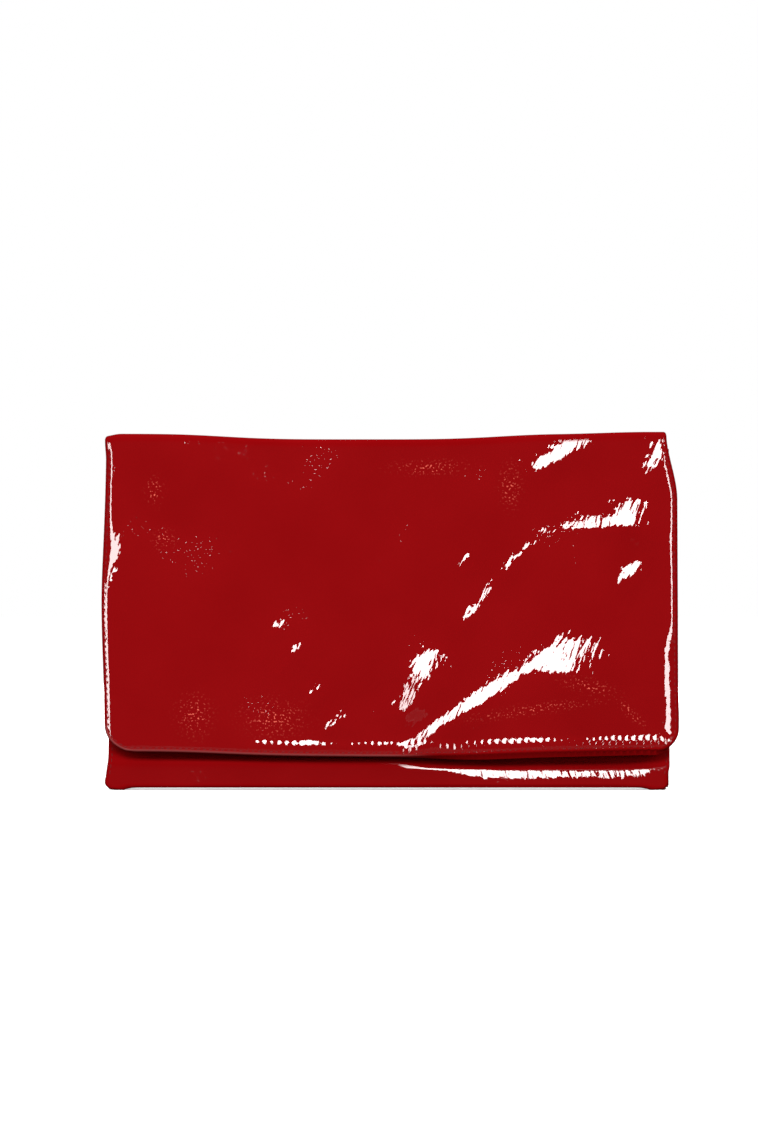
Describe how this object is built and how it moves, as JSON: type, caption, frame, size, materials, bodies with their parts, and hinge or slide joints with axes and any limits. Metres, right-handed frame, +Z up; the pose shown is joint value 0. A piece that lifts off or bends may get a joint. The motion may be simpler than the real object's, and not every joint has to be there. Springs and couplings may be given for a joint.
{
  "type": "clutch purse",
  "caption": "Slim leather clutch purse with a full front flap that folds over a flat spine, V-folded side gussets, a lined compartment and a hidden magnetic snap.",
  "frame": {"origin": "bottom centre of the overall box, on the surface that the purse stands on", "axes": "+X to the right seen from the flap's side, +Y towards the back panel, +Z up"},
  "size_m": [0.24, 0.0303, 0.148],
  "materials": {
    "patent_leather": "high gloss patent, fine grain",
    "facing_leather": "smooth satin",
    "fibre_board": "matt bonded leather fibre",
    "lining_cloth": "matt twill",
    "plated_steel": "polished nickel plate",
    "washer_steel": "pressed",
    "magnet": "sintered ferrite",
    "thread": "bonded polyester"
  },
  "bodies": {
    "body": {"back_panel": "patent_leather", "back_board": "fibre_board", "back_mouth_facing": "facing_leather", "back_lining": "lining_cloth", "slip_pocket": "lining_cloth", "pocket_binding": "facing_leather", "base_panel": "patent_leather", "base_board": "fibre_board", "base_lining": "lining_cloth", "left_gusset": "patent_leather", "right_gusset": "patent_leather", "left_gusset_lining": "lining_cloth", "right_gusset_lining": "lining_cloth"},
    "spine": {"spine_cover": "patent_leather", "spine_facing": "facing_leather"},
    "flap": {"flap_cover": "patent_leather", "flap_board": "fibre_board", "flap_facing": "facing_leather", "snap_stud": "plated_steel", "snap_stud_washer": "washer_steel", "flap_thread": "thread"},
    "front": {"front_panel": "patent_leather", "front_board": "fibre_board", "front_mouth_facing": "facing_leather", "front_lining": "lining_cloth", "snap_socket_cup": "plated_steel", "snap_magnet": "magnet", "snap_socket_base": "plated_steel", "snap_socket_washer": "washer_steel", "mouth_thread": "thread"}
  },
  "joints": [
    {"name": "spine_fold", "type": "hinge", "parent": "body", "child": "spine", "pos_m": [0, 0.01399, 0.1465], "axis": [-1, 0, 0], "range_deg": [0, 165]},
    {"name": "flap_fold", "type": "hinge", "parent": "spine", "child": "flap", "pos_m": [0, -0.00031, 0.1465], "axis": [-1, 0, 0], "range_deg": [0, 165]},
    {"name": "mouth_open", "type": "hinge", "parent": "body", "child": "front", "pos_m": [0, -0.00831, 0.0021], "axis": [1, 0, 0], "range_deg": [0, 7], "deforming": ["left_gusset", "right_gusset", "left_gusset_lining", "right_gusset_lining"]}
  ],
  "couplings": [
    {"joint": "flap_fold", "follows": "spine_fold", "ratio": 1},
    {"joint": "mouth_open", "follows": "spine_fold", "ratio": 0.042}
  ]
}
